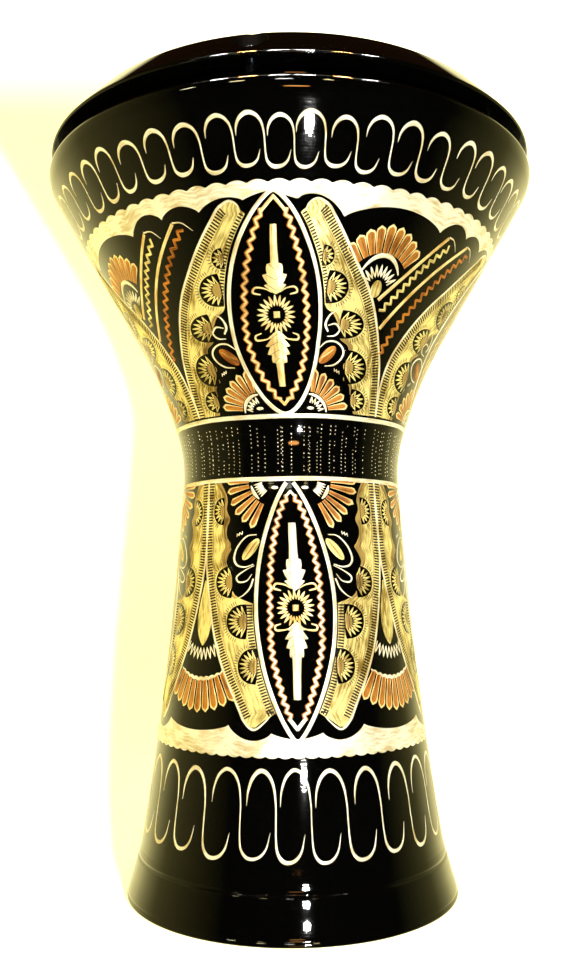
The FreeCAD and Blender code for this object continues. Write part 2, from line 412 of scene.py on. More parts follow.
UPPER_PANEL_OUTER = [
    (10.6, 365.8), (13.6, 364.2), (16.0, 359.5), (20.0, 351.5), (25.5, 340.5), (31.0, 330.5),
    (35.7, 320.0), (40.0, 308.0), (43.0, 297.0), (44.6, 284.0), (45.0, 272.0),
]
UPPER_PANEL_INNER = [
    (17.4, 321.0), (20.2, 318.5), (22.0, 315.0), (23.4, 312.0), (22.9, 309.5), (24.5, 307.0),
    (27.2, 305.0), (27.8, 302.0), (26.8, 298.0), (26.0, 295.0), (27.0, 291.5), (26.2, 288.5),
    (29.0, 286.0), (29.8, 281.5), (31.0, 279.0), (30.0, 276.5), (31.8, 272.0),
]
# Each eye's centre, width, height and number of rays.
UPPER_EYES = (
    ((14.3, 343.5), 6.0, 10.3, 6),
    ((16.9, 330.4), 11.6, 16.6, 9),
    ((23.5, 314.4), 13.2, 14.6, 8),
    ((27.2, 294.8), 12.8, 17.8, 9),
    ((30.4, 278.9), 9.0, 11.8, 6),
)


def wavy(path, width, swing, start, period):
    """A path moved across by width degrees, and to and fro along its height."""
    moved = path.copy()
    moved[:, 0] += width + swing * np.sin((moved[:, 1] - start) * 2 * np.pi / period)
    return moved


def upper_panel():
    """The gold leaf beside the medallion, its hatched margins and its row of eyes."""
    outer = curve(UPPER_PANEL_OUTER, 1.2)
    beside = np.linspace(362.0, 322.5, 30)
    inner_top = np.stack([upper_half_width(beside) + 1.5, beside], 1)
    inner_top[0] = (8.2, 362.5)
    inner = np.vstack([[(10.2, 365.8), (8.6, 364.6)], inner_top, curve(UPPER_PANEL_INNER, 1.0)])
    z = np.linspace(365.7, 272.0, 110)
    left, right = edge_at(inner, z), edge_at(outer, z)
    low = z < 320.5
    shoulder = [(8.2, 361.5, 0.4), (9.0, 364.6, 0.8), (11.0, 366.2, 1.2), (13.6, 364.4, 1.3)]
    rim = np.column_stack([outer, np.full(len(outer), 1.4)])
    marks = [
        field("gold", left, right, 0.04, 8),
        field("bronze", left[low], wavy(left[low], 2.4, 0.9, 272.0, 16.5), 0.06, 2),
        stroke("silver", np.vstack([curve(shoulder, 0.6), rim[4:]])),
    ]
    marks += hatching(outer[6:], 4.2)
    marks.append(stroke("bronze", sideways(outer[6:], 5.6), 0.5, 0.10))
    side = left[(z < 360) & (z > 323)]
    marks += hatching(side[::-1], 2.4, inset=0.3)
    for one in UPPER_EYES:
        marks += eye(*one)
    return marks


def crescent(centre, turns, across, up, widths):
    """A bright bow round a centre, thin at both ends."""
    spots = round_spots(centre, turns, across, up)
    return stroke("silver", np.column_stack([spots, widths]), None, 0.13)


def swell(thin, extra, count, end=0.1):
    """Widths that grow from thin towards the middle of a cut and shrink again."""
    return thin + extra * np.sin(np.linspace(end, np.pi - end, count))


def corner_fan(centre, radius, reach, turns, oval_at, teeth):
    """A quarter sunburst in a bright crescent, with petals round it."""
    marks = []
    first, last = turns[0] - 12, turns[-1] + 12
    for turn in turns:
        marks += petal(centre, turn, radius + 1.2, reach, 1.75)
    bow = np.radians(np.linspace(90 + first, 90 + last, 20))
    marks.append(crescent(centre, bow, radius, radius, swell(0.5, 1.3, 20)))
    marks.append(rays("silver", centre, 94 + first, 86 + last, radius * 0.5, radius * 0.87, teeth, 0.6))
    marks.append(oval("silver", oval_at, (1.9, 0.8), 0.12, 0, 8))
    return marks


def upper_corner():
    """Between medallion and panel: the tendril, the bud, a nick and the corner fan."""
    tendril = [(21.8, 321.0, 0.3), (18.8, 318.2, 0.8), (17.6, 314.0, 1.3), (18.8, 310.8, 0.9)]
    curl = [(18.6, 313.6, 0.4), (21.4, 314.4, 0.9), (23.2, 311.8, 1.2), (21.6, 309.2, 0.8)]
    curl += [(18.6, 308.6, 0.3)]
    hook = [(15.8, 303.0, 0.4), (18.6, 306.0, 0.8), (22.0, 306.4, 0.9), (24.8, 304.4, 1.0)]
    hook += [(25.8, 301.4, 1.1), (24.6, 298.0, 0.9), (21.8, 295.4, 0.8), (18.0, 294.6, 0.4)]
    marks = [
        cut("silver", tendril),
        cut("silver", curl),
        cut("silver", hook, 0.7),
        oval("copper", (19.2, 300.0), (2.7, 6.2), 0.10, -46),
        cut("gold", [(16.6, 298.4, 0.4), (19.0, 300.2, 1.3), (21.6, 302.8, 0.4)]),
        zigzag("silver", straight([(22.0, 293.2), (24.6, 291.8)]), 0.7, 1.5, 0.4),
    ]
    turns = [-80, -66, -53, -40, -26, -12]
    return marks + corner_fan((10.9, 272.4), 8.8, 21.2, turns, (11.2, 273.9), 5)


def peacock_fan():
    """The fan that stands between two panels."""
    centre = (33.2, 331.0)
    marks = [oval("gold", (33.2, 331.6), (3.0, 4.4), 0.10)]
    for turn in (46, 35, 24.5, 14, 3, -8, -19, -30, -41):
        marks += petal(centre, turn, 18.6, 32.4 - 0.06 * abs(turn), 2.6)
    bow = np.radians(np.linspace(150, 32, 26))
    marks.append(crescent(centre, bow, 12.6, 17.6, swell(0.5, 1.9, 26, 0.15)))
    marks.append(rays("silver", (33.2, 332.0), 162, 22, 5.8, 11.6, 9, 0.75))
    return marks


def zigzag_leaves():
    """Two slim leaves beside the fan, each a bright line, a zigzag and a hooked tip."""
    lines = (
        [(35.0, 327.0), (41.0, 337.5), (46.5, 348.0), (52.5, 360.5)],
        [(38.8, 314.5), (45.0, 328.0), (53.0, 344.0), (62.8, 361.0)],
    )
    first_teeth = [(37.2, 322.0), (42.5, 333.0), (48.0, 345.0), (54.6, 357.0)]
    second_teeth = [(41.8, 302.5), (46.5, 318.0), (54.0, 336.5), (65.2, 358.5)]
    return [stroke("pale_gold", curve(line, 1.5), 1.9) for line in lines] + [
        zigzag("gold", curve(first_teeth, 1.5), 1.5, 4.6, 1.4),
        zigzag("copper", curve(second_teeth, 1.5), 1.6, 4.9, 1.5),
        cut("silver", [(52.5, 361.0, 0.9), (55.2, 360.4, 0.5), (58.0, 356.6, 0.2)], 0.7),
        cut("silver", [(62.8, 361.4, 0.9), (65.6, 360.6, 0.5), (68.6, 356.6, 0.2)], 0.7),
    ]


# ---------------------------------------------------------------- lower zone
LOWER_LOW, LOWER_HIGH = 99.0, 236.5

LOWER_ZIGZAG = [
    (1.5, 228.0), (3.9, 223.6), (5.6, 218.5), (7.7, 210.0), (9.2, 200.0), (10.4, 190.0),
    (11.0, 180.0), (11.1, 165.0), (10.8, 150.0), (9.5, 140.0), (7.5, 130.0), (5.2, 120.0),
    (3.2, 113.0), (2.6, 110.6),
]


def lower_half_width(z):
    """Half-width in degrees of the lower medallion."""
    t = np.clip((z - LOWER_LOW) / (LOWER_HIGH - LOWER_LOW), 0, 1)
    return 17.4 * np.sin(np.pi * t**1.06) ** 0.72


def lower_medallion_side():
    """Half of the lower medallion."""
    z = outline_heights(LOWER_LOW, LOWER_HIGH - 1.5, 80)
    edge = np.stack([lower_half_width(z), z], 1)
    ends = (([(-0.2, 230.6), (2.4, 227.4)], 1.3), ([(-0.2, 105.6), (3.0, 111.0)], 1.9))
    return medallion_side(edge, 2.1, LOWER_ZIGZAG, 1.1, 4.9, 2.2, 1.4, "silver", ends)


LOWER_PANEL_OUTER = [
    (45.0, 236.0), (45.4, 222.0), (45.3, 208.0), (44.4, 192.0), (41.4, 172.0), (37.0, 151.5),
    (31.2, 134.0), (25.4, 120.0), (21.6, 110.5), (19.4, 107.0),
]
LOWER_PANEL_INNER = [
    (36.4, 236.0), (34.0, 231.0), (32.6, 226.0), (33.0, 221.0), (31.0, 216.0), (32.6, 211.5),
    (32.4, 206.5), (29.8, 201.0), (31.6, 196.5), (32.4, 192.0), (28.8, 186.0), (29.4, 180.5),
    (27.6, 175.5), (23.5, 172.8),
]
LOWER_EYES = (
    ((34.6, 220.5), 7.2, 15.0, 8),
    ((29.3, 182.2), 10.6, 17.2, 9),
    ((22.0, 161.2), 11.6, 18.6, 10),
    ((17.0, 138.0), 10.4, 19.0, 10),
)


def lower_panel():
    """The gold leaf beside the lower medallion."""
    outer = curve(LOWER_PANEL_OUTER, 1.3)
    beside = np.linspace(170.8, 114.0, 36)
    inner_low = np.stack([lower_half_width(beside) + 1.4, beside], 1)
    inner = np.vstack([curve(LOWER_PANEL_INNER, 1.0), inner_low, [(13.4, 110.0), (16.8, 106.4)]])
    z = np.linspace(236.0, 106.6, 140)
    left, right = edge_at(inner, z), edge_at(outer, z)
    high = z > 173.5
    tip = [(21.8, 110.5, 1.3), (19.0, 106.4, 1.2), (16.4, 105.6, 1.1), (12.8, 109.4, 0.7)]
    tip += [(10.8, 112.4, 0.4)]
    rim = np.column_stack([outer, np.full(len(outer), 1.4)])
    marks = [
        field("gold", left, right, 0.04, 8),
        field("bronze", left[high], wavy(left[high], 2.8, 1.1, 175.0, 19.0), 0.06, 2),
        stroke("silver", np.vstack([rim[:-10], curve(tip, 0.6)])),
    ]
    marks += hatching(outer[:-4], 3.9)
    marks.append(stroke("bronze", sideways(outer[:-6], 5.2), 0.5, 0.10))
    side = left[(z < 170) & (z > 112)]
    marks += hatching(side[::-1], 3.5, inset=0.2)
    for one in LOWER_EYES:
        marks += eye(*one)
    return marks


def lower_corner():
    """What upper_corner makes, for the lower zone, hanging from the waist."""
    tendril = [(18.0, 191.0, 0.3), (22.6, 188.4, 0.6), (26.6, 185.0, 0.9), (25.6, 182.2, 0.9)]
    tendril += [(21.8, 182.8, 0.6), (19.2, 186.4, 0.3)]
    tail = [(18.6, 184.0, 0.9), (20.4, 178.8, 0.9), (23.4, 175.2, 0.6), (26.2, 173.6, 0.3)]
    hook = [(16.6, 207.4, 0.4), (21.4, 206.6, 0.7), (26.0, 201.4, 0.9), (28.0, 195.0, 1.2)]
    hook += [(26.4, 191.2, 1.0), (22.6, 190.2, 0.7), (18.4, 191.6, 0.4)]
    marks = [
        cut("silver", tendril, 0.7),
        cut("silver", tail, 0.7),
        cut("silver", hook, 0.8),
        oval("gold", (19.6, 199.6), (2.6, 7.2), 0.10, 40),
        cut("copper", [(16.6, 204.2, 0.4), (19.6, 199.6, 1.2), (22.8, 194.4, 0.4)], 0.7),
        zigzag("silver", straight([(23.4, 208.6), (26.8, 207.2)]), 0.8, 1.7, 0.4),
    ]
    turns = [-89, -101, -115, -128, -140, -152]
    return marks + corner_fan((7.9, 236.0), 12.4, 27.8, turns, (7.2, 232.4), 6)


def hanging_fan():
    """The fan that hangs between two lower panels, under a gold drop."""
    middle, wall_radius = 46.0, 71.0
    drop_z = np.linspace(183.0, 148.0, 24)
    t = (183.0 - drop_z) / 35.0
    half = np.degrees(4.6 * np.sin(np.pi * t**1.5) ** 0.7 / wall_radius) + 0.9 * (1 - t) ** 0.5
    half[-1] = 0.2
    left, right = np.stack([middle - half, drop_z], 1), np.stack([middle + half, drop_z], 1)
    marks = [field("gold", left, right, 0.08, 4)]
    centre = (middle, 158.0)
    for turn in np.linspace(180 - 31.5, 180 + 31.5, 9):
        sag = abs(turn - 180) * 0.03
        marks += petal(centre, turn, 29.0 - sag, 45.6 - sag, 2.5)
    bow = np.radians(np.linspace(-90 - 36, -90 + 36, 60))
    reach = 28.0 + 0.35 * np.sin(np.linspace(0, 18 * np.pi, 60))
    marks.append(crescent(centre, bow, reach, reach, swell(0.5, 1.5, 60)))
    marks.append(rays("silver", (middle, 163.0), -90 - 38, -90 + 38, 16.5, 22.9, 9, 0.75))
    return marks


# ---------------------------------------------------------------- borders and waist
def arches(cusps):
    """Height against angle of a row of arches. Each cusp is angle, height and the next rise."""
    angles, heights = [], []
    for (a, low, rise), (b, high, _) in zip(cusps, cusps[1:]):
        t = np.linspace(0, 1, max(4, round((b - a) / 0.5)), endpoint=False)
        angles.append(a + (b - a) * t)
        heights.append(low + (high - low) * t + rise * np.sin(np.pi * t) ** 0.7)
    return np.concatenate(angles), np.concatenate(heights)


UPPER_CUSPS = [
    (0.0, 369.0, 0.0), (6.0, 366.0, 0.0), (6.5, 366.0, 4.6), (18.2, 359.5, 6.0), (48.0, 361.0, 5.2),
    (60.0, 363.7, 3.8), (71.3, 363.3, 3.0), (83.0, 366.0, 0.7), (90.0, 369.0, 0.0),
]
LOWER_CUSPS = [
    (0.0, 101.0, -0.8), (10.0, 104.0, -5.4), (27.5, 107.2, -4.2), (62.5, 107.2, -5.6),
    (80.0, 103.8, -0.8), (90.0, 101.0, 0.0),
]
SCALLOPS = 72


def band(cusps, scallop_height, scallop_rise, cell):
    """A bright band with arches on one edge and small scallops on the other."""
    angle, edge = arches(cusps)
    turns = np.concatenate([angle + 90 * k for k in range(4)] + [[360.0]]) + cell
    edge = np.concatenate([edge] * 4 + [edge[:1]])
    steps = np.linspace(cell, cell + 360, SCALLOPS * 12 + 1)
    arch = np.interp(steps, turns, edge)
    bumps = scallop_height + scallop_rise * np.abs(np.sin(np.radians(steps * SCALLOPS / 2))) ** 0.8
    a = np.stack([steps, arch], 1)
    b = np.stack([steps, bumps], 1)
    return field("silver", a, b, 0.06, 5)


# A loop's knots: shares of its pitch and of the border's height, and a width in millimetres.
LOOP_SHAPE = [
    (-0.82, 0.60, 0.15), (-0.79, 0.77, 1.0), (-0.67, 0.92, 1.6), (-0.46, 1.00, 2.1),
    (-0.24, 0.96, 1.7), (-0.08, 0.83, 1.2), (-0.01, 0.63, 0.85), (0.00, 0.42, 0.75),
    (0.01, 0.24, 0.85), (0.06, 0.09, 1.3), (0.23, 0.00, 1.9), (0.48, 0.01, 1.6), (0.67, 0.11, 1.0),
    (0.77, 0.30, 0.15),
]


def loop_border(count, first, low, high, jitter, seed):
    """A border of open loops, each one swinging cut, spaced as a free hand spaces them."""
    rng = random.Random(seed)
    pitch = 360.0 / count
    marks = []
    for number in range(count):
        shape = np.array(LOOP_SHAPE)
        start = first + pitch * (number + rng.uniform(-jitter, jitter))
        start = (start + 180) % 360 - 180
        # The loops stand a little closer together at the front.
        start -= 2.3 * math.sin(math.radians(3.6 * start)) * math.exp(-((start / 40) ** 2))
        spread = pitch * rng.uniform(0.92, 1.04)
        drop = rng.uniform(-1.2, 0.8)
        lift = rng.uniform(-1.2, 1.2)
        knots = np.empty_like(shape)
        knots[:, 0] = start + shape[:, 0] * spread
        knots[:, 1] = low + drop + shape[:, 1] * (high + lift - low - drop)
        knots[:, 2] = shape[:, 2] * rng.uniform(0.88, 1.08)
        marks.append(stroke("silver", curve(knots, 0.8)))
    return marks


def ring_line(height, width):
    """A bright line right round the drum, which sways a little."""
    steps = np.linspace(0, 360, 361)
    sway = 0.12 * np.sin(np.radians(steps * 7))
    return stroke("silver", np.stack([steps, height + sway], 1), width)


def waist_dots(seed):
    """Upright rows of small punched dots round the waist."""
    rng = random.Random(seed)
    marks = []
    rows = 57
    for number in range(rows):
        angle = number * 360.0 / rows + rng.uniform(-0.4, 0.4)
        shifts = [0.0] + [rng.uniform(1.2, 3.4) for _ in range(rng.choice((0, 1, 1, 2)))]
        for shift in shifts:
            z = 240.6 + rng.uniform(0, 1.8)
            high = 267.2 - rng.uniform(0, 3.0)
            pitch = rng.uniform(1.9, 2.3)
            while z < high:
                size = rng.uniform(0.17, 0.30)
                if rng.random() < 0.9:
                    marks.append(oval("silver", (angle + shift, z), (size, size * 1.2), 0.05, 0, 5))
                z += pitch * rng.uniform(0.95, 1.05)
    return marks


# ---------------------------------------------------------------- stamping the cells
UPPER_CELL = -4.4
LOWER_CELL = 2.0


def upper_hand(u, z):
    """How far the free-hand upper pattern strays from its even layout, in degrees."""
    t = np.clip((z - UPPER_LOW) / (UPPER_HIGH - UPPER_LOW), 0, 1)
    bulge = -1.3 * np.clip(np.abs(u) / 25, 0, 1) * np.sin(np.pi * t)
    return bulge + np.interp(z, (271, 280, 292, 305, 350, 369), (2.3, 1.5, 0.7, 0.0, 0.0, 0.5))


def lower_hand(u, z):
    """The same for the lower pattern."""
    near = np.interp(z, (98, 150, 180, 200, 220, 236), (0.2, 0.2, -0.4, -1.2, -1.9, -2.7))
    return near * np.where(np.abs(u) < 30, 1.0, 0.6)


def stamp(marks, cell, sides, hand):
    """The marks of one cell repeated at four places, and mirrored where sides says so."""
    placed = []
    for quarter in range(4):
        for side in sides:
            for m in marks:
                ends = []
                for rail in (m["left"], m["right"]):
                    spots = rail.copy()
                    u = rail[:, 0] * side
                    u_cell = (u + 45) % 90 - 45
                    spots[:, 0] = cell + 90 * quarter + u + hand(u_cell, rail[:, 1])
                    ends.append(spots)
                placed.append(dict(m, left=ends[0], right=ends[1]))
    return placed


def all_marks():
    """Every cut on the drum."""
    marks = []
    upper_sides = upper_medallion_side() + upper_panel() + upper_corner()
    upper_once = medallion_heart("pale_gold", 318.0, 9.6, (17.0, 6.6), (284.5, 356.0), 1.75)
    upper_once += peacock_fan() + zigzag_leaves()
    marks += stamp(upper_sides, UPPER_CELL, (1, -1), upper_hand)
    marks += stamp(upper_once, UPPER_CELL, (1,), upper_hand)
    lower_sides = lower_medallion_side() + lower_panel() + lower_corner()
    lower_once = medallion_heart("silver", 168.6, 9.8, (19.0, 6.4), (121.0, 213.5), 2.1)
    lower_once += hanging_fan()
    marks += stamp(lower_sides, LOWER_CELL, (1, -1), lower_hand)
    marks += stamp(lower_once, LOWER_CELL, (1,), lower_hand)
    marks.append(band(UPPER_CUSPS, 372.3, 1.5, UPPER_CELL))
    marks.append(band(LOWER_CUSPS, 92.2, -1.1, LOWER_CELL))
    marks += loop_border(49, 1.5, 378.6, 398.2, 0.07, 4)
    marks += loop_border(26, 7.8, 40.6, 84.6, 0.05, 9)
    marks.append(ring_line(269.9, 2.3))
    marks.append(ring_line(237.2, 2.3))
    marks += waist_dots(2)
    return marks


# ---------------------------------------------------------------- meshes
def mesh_object(name, verts, faces, material, uvs=None):
    """A smooth piece from its points, in metres, and its faces."""
    mesh = bpy.data.meshes.new(name)
    mesh.from_pydata(verts, [], faces)
    mesh.polygons.foreach_set("use_smooth", [True] * len(mesh.polygons))
    if uvs is not None:
        layer = mesh.uv_layers.new(name="cut")
        loops = np.empty(len(mesh.loops), np.int32)
        mesh.loops.foreach_get("vertex_index", loops)
        layer.data.foreach_set("uv", np.asarray(uvs, np.float32)[loops].ravel())
    mesh.materials.append(material)
    mesh.update()
    obj = bpy.data.objects.new(name, mesh)
    bpy.context.scene.collection.objects.link(obj)
    return obj


def mark_grid(m):
    """Points, faces and metric UVs of one mark."""
    left, right = m["left"], m["right"]
    across = right - left
    middle = (left + right) / 2
    along = np.gradient(middle, axis=0)
    if np.sum(across[:, 0] * along[:, 1] - across[:, 1] * along[:, 0]) < 0:
        left, right = right, left
    share, rise = np.array(m["section"]).T
    spots = left[:, None, :] * (1 - share[:, None]) + right[:, None, :] * share[:, None]
    points = on_wall(spots, BASE_LIFT + m["lift"] * rise)
    rows, columns = points.shape[:2]
    index = np.arange(rows * columns).reshape(rows, columns)
    quads = np.stack([index[:-1, :-1], index[:-1, 1:], index[1:, 1:], index[1:, :-1]], -1)
    run = np.concatenate([[0], np.cumsum(gaps(middle))])
    wide = np.linalg.norm(points[:, -1] - points[:, 0], axis=1) / MM
    u = np.repeat(run[:, None], columns, 1)
    v = (share[None, :] - 0.5) * wide[:, None]
    return points.reshape(-1, 3), quads.reshape(-1, 4), np.stack([u, v], -1).reshape(-1, 2)


# Heights above which a mark belongs to the upper zone and to the waist.
UPPER_FROM = 268.8
WAIST_FROM = 238.0


def engraving(marks, materials):
    """One piece per metal and zone, each riding on the shell."""
    groups = {}
    for m in marks:
        height = float(np.mean(m["left"][:, 1]))
        zone = "upper" if height > UPPER_FROM else "waist" if height > WAIST_FROM else "lower"
        groups.setdefault((zone, m["metal"]), []).append(m)
    for (zone, metal), members in groups.items():
        verts, faces, uvs = [], [], []
        start = 0
        for m in members:
            points, quads, uv = mark_grid(m)
            verts.append(points)
            faces.append(quads + start)
            uvs.append(uv)
            start += len(points)
        material, slot = materials[metal]
        piece = mesh_object(
            f"engraving_{zone}_{metal}",
            np.vstack(verts).tolist(),
            np.vstack(faces).tolist(),
            material,
            np.vstack(uvs),
        )
        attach(piece, "shell")


def lathe(name, profile, segments, material, closed=False):
    """A surface turned about the drum's axis from (radius, height) points, in millimetres."""
    profile = np.array(profile)
    turn = np.linspace(0, 2 * np.pi, segments, endpoint=False)
    x = profile[:, None, 0] * np.sin(turn)
    y = -profile[:, None, 0] * np.cos(turn)
    z = np.repeat(profile[:, None, 1], segments, 1)
    points = np.stack([x, y, z], -1).reshape(-1, 3) * MM
    index = np.arange(len(points)).reshape(len(profile), segments)
    if closed:
        index = np.vstack([index, index[:1]])
    after = np.roll(index, -1, axis=1)
    quads = np.stack([index[:-1], after[:-1], after[1:], index[1:]], -1).reshape(-1, 4)
    return mesh_object(name, points.tolist(), quads.tolist(), material)


def groove_depth(height):
    """Turned lines near the foot, as depths in millimetres."""
    depth = 0.0
    for centre, deep, width in GROOVES:
        depth += deep * math.exp(-(((height - centre) / width) ** 2))
    return depth


CORNER_ANGLE = 34


def crisp(obj):
    """Shades the object smooth but keeps its corners."""
    obj.data.set_sharp_from_angle(angle=math.radians(CORNER_ANGLE))
    return obj


def arc(centre, radius, first, last, count):
    """Points of a section round a centre, between two angles in degrees."""
    turns = np.radians(np.linspace(first, last, count))
    return [(centre[0] + radius * math.cos(t), centre[1] + radius * math.sin(t)) for t in turns]


# Rows of the wall's mesh: from, to and step, closest at the turned lines and where the wall bends.
OUTER_ROWS = (
    (1.8, 23.0, 0.6),
    (23.0, 26.4, 0.2),
    (26.4, 34.0, 0.5),
    (34.0, 236.0, 4.4),
    (236.0, 324.0, 2.2),
    (324.0, CONE_TOP, 4.4),
    (CONE_TOP, 411.1, 0.6),
)
INNER_ROWS = ((404.6, 392.0, -1.2), (390.0, 4.0, -7.7))


def heights(rows):
    """All the heights of some runs of rows, each given as from, to and step."""
    return np.concatenate([np.arange(*run) for run in rows])


def outer_profile():
    """The outside of the wall, from the foot's flat to the rounded rim."""
    edge = FOOT_RADIUS + FOOT_EDGE_ROUND * math.tan(LEANS[0])
    profile = arc((edge - FOOT_EDGE_ROUND, FOOT_EDGE_ROUND), FOOT_EDGE_ROUND, -90, 0, 6)
    for z in heights(OUTER_ROWS):
        lean = lean_at(z)
        depth = groove_depth(z)
        profile.append((radius_at(z) - depth * math.cos(lean), z + depth * math.sin(lean)))
    lean = LEANS[-1]
    out, up = RIM_EDGE_ROUND * math.cos(lean), RIM_EDGE_ROUND * math.sin(lean)
    centre = (RADII[-1] - out, HEIGHTS[-1] + up)
    return profile + arc(centre, RIM_EDGE_ROUND, -math.degrees(lean), 90, 8)


def inner_profile():
    """The inside of the wall, from under the deck down to the foot."""
    profile = [(DECK_SEAM_RADIUS, DECK_TOP), (DECK_SEAM_RADIUS, DECK_BOTTOM)]
    for z in heights(INNER_ROWS):
        lean = lean_at(z)
        profile.append((radius_at(z) - WALL * math.cos(lean), z + WALL * math.sin(lean)))
    profile.append((FOOT_RADIUS - WALL / math.cos(LEANS[0]), 0.0))
    return profile


def deck_profile():
    """The deck and the bearing wall on it, as a closed section."""
    crest = (BEARING_OUTER_RADIUS - BEARING_INNER_RADIUS) / 2
    top = BEARING_CREST - crest
    profile = [(r, DECK_TOP) for r in np.linspace(DECK_SEAM_RADIUS, BEARING_OUTER_RADIUS, 6)]
    profile += [(BEARING_OUTER_RADIUS, z) for z in np.linspace(DECK_TOP + 3, top, 6)]
    profile += arc((BEARING_INNER_RADIUS + crest, top), crest, 15, 180, 12)
    profile += [(BEARING_INNER_RADIUS, z) for z in np.linspace(top - 4, DECK_BOTTOM, 6)]
    profile += [(r, DECK_BOTTOM) for r in np.linspace(BEARING_INNER_RADIUS + 4, DECK_SEAM_RADIUS, 6)]
    return profile


def screw_angles():
    """Where the six screws stand, in degrees from the front."""
    return [FIRST_SCREW_ANGLE + number * 360.0 / SCREWS for number in range(SCREWS)]


def on_screw_circle(obj, angle):
    """The object moved out to the screws' circle."""
    obj.location = (*(SCREW_CIRCLE_RADIUS * MM * outward(angle)), 0)
    return obj


def carve(obj, tools, operation):
    """The object's mesh joined with or cut by the tools, which are then removed."""
    for tool in tools:
        step = obj.modifiers.new("carve", "BOOLEAN")
        step.operation = operation
        step.solver = "EXACT"
        step.object = tool
        step.material_mode = "TRANSFER"
    graph = bpy.context.evaluated_depsgraph_get()
    mesh = bpy.data.meshes.new_from_object(obj.evaluated_get(graph))
    obj.modifiers.clear()
    obj.data = mesh
    for tool in tools:
        bpy.data.objects.remove(tool)
    return obj


NEAR_AXIS = 0.001
PLUG_SEGMENTS = 48
ENVELOPE_SEGMENTS = 256


def plug(radius, low, high, angle, material):
    """A short upright cylinder on the screw circle, for carving."""
    ring = [(NEAR_AXIS, low), (radius, low), (radius, high), (NEAR_AXIS, high)]
    return on_screw_circle(lathe("plug", ring, PLUG_SEGMENTS, material, True), angle)


def relieve(wall, first):
    """Sets the inside of the wall back where the screws' holes run into it."""
    points = np.empty(len(wall.data.vertices) * 3)
    wall.data.vertices.foreach_get("co", points)
    points = points.reshape(-1, 3) / MM
    inside = (np.arange(len(points)) >= first) & (points[:, 2] > BOSS_BOTTOM - 0.5)
    for angle in screw_angles():
        out = points[:, :2] @ outward(angle)
        side = points[:, :2] @ outward(angle + 90)
        half = np.sqrt(np.clip(RELIEF_RADIUS**2 - side**2, 0, None))
        push = np.clip(SCREW_CIRCLE_RADIUS + half - out, 0, None)
        near = inside & (np.abs(side) < RELIEF_RADIUS) & (out > 0)
        points[near, :2] += push[near, None] * outward(angle)
    wall.data.vertices.foreach_set("co", (points * MM).ravel())
    wall.data.update()


def shell_pieces():
    """The wall, lacquered outside and bare inside, and the deck with its bosses."""
    black = lacquer("shell_lacquer", 0.025)
    casting = cast_inside("cast_aluminium")
    outer, inner = outer_profile(), inner_profile()
    wall = lathe("shell_wall", outer + inner, WALL_SEGMENTS, black, True)
    wall.data.materials.append(casting)
    relieve(wall, (len(outer) + 2) * WALL_SEGMENTS)
    first_inner = (len(outer) + 1) * WALL_SEGMENTS
    for polygon in wall.data.polygons:
        polygon.material_index = 1 if polygon.index >= first_inner else 0
    deck = lathe("shell_deck", deck_profile(), TURNED_SEGMENTS, casting, True)
    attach(crisp(wall), "shell")
    bosses = [boss(angle, casting) for angle in screw_angles()]
    carve(deck, bosses, "UNION")
    holes = []
    for angle in screw_angles():
        holes.append(plug(INSERT_RADIUS, INSERT_BOTTOM, DECK_TOP + 5, angle, casting))
        holes.append(plug(CLEARANCE_RADIUS, BOSS_BOTTOM - 1, INSERT_BOTTOM + 5, angle, casting))
    carve(deck, holes, "DIFFERENCE")
    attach(crisp(deck), "shell")
    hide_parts("shell")


def rounded(profile, corner, before, after, radius):
    """Adds a corner of a section, rounded, between the directions to its neighbours."""
    corner, before, after = (np.array(p, float) for p in (corner, before, after))
    start = corner + (before - corner) / np.linalg.norm(before - corner) * radius
    end = corner + (after - corner) / np.linalg.norm(after - corner) * radius
    for t in np.linspace(0, 1, 6):
        profile.append(tuple((1 - t) ** 2 * start + 2 * t * (1 - t) * corner + t**2 * end))


# The tuning ring's section: each corner and its rounding.
RING_CORNERS = (
    ((119.1, 419.0), 0.4),
    ((119.1, 430.3), 0.2),
    ((116.6, 430.3), 0.5),
    ((116.6, 443.0), 1.8),
    ((119.5, 443.0), 0.9),
    ((138.0, 424.5), 0.8),
    ((138.0, 423.0), 0.7),
    ((122.0, 423.0), 0.4),
    ((122.0, 419.0), 0.4),
)
# Radius and floor of each step of a screw's pocket in the ring, and a height clear above it.
POCKET_STEPS = ((8.5, 434.0), (6.5, 425.5), (CLEARANCE_RADIUS, 415.0))
ABOVE_RING = 450.0


def ring_profile():
    """The ring's section, with its edges softened as cast and painted metal has them."""
    profile = []
    for number, (corner, radius) in enumerate(RING_CORNERS):
        before = RING_CORNERS[number - 1][0]
        after = RING_CORNERS[(number + 1) % len(RING_CORNERS)][0]
        rounded(profile, corner, before, after, radius)
    return profile


def ring_piece():
    """The tuning ring with a stepped pocket for each screw."""
    black = lacquer("ring_lacquer", 0.035)
    ring = lathe("tuning_ring_turned", ring_profile(), TURNED_SEGMENTS, black, True)
    # The pockets are painted shade: a dull black at a fifth of the burr's tone and gloss, darker than
    # the ring's gloss lacquer.
    pocket = burr_and_painted_shade("pocket_painted_shade", 0.2)
    cuts = []
    for angle in screw_angles():
        for radius, low in POCKET_STEPS:
            cuts.append(plug(radius, low, ABOVE_RING, angle, pocket))
    carve(ring, cuts, "DIFFERENCE")
    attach(crisp(ring), "tuning_ring")
    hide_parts("tuning_ring")


def boss(angle, material):
    """A boss under the deck, trimmed to the middle of the wall."""
    plain = plug(BOSS_RADIUS, BOSS_BOTTOM, DECK_TOP - 2.5, angle, material)
    low = BOSS_BOTTOM - 5
    section = [(NEAR_AXIS, low)]
    for z in (low, CONE_TOP):
        section.append((float(radius_at(z)) - WALL / 2, z))
    section += [(section[-1][0], DECK_TOP), (NEAR_AXIS, DECK_TOP)]
    return carve(plain, [lathe("envelope", section, ENVELOPE_SEGMENTS, material, True)], "INTERSECT")


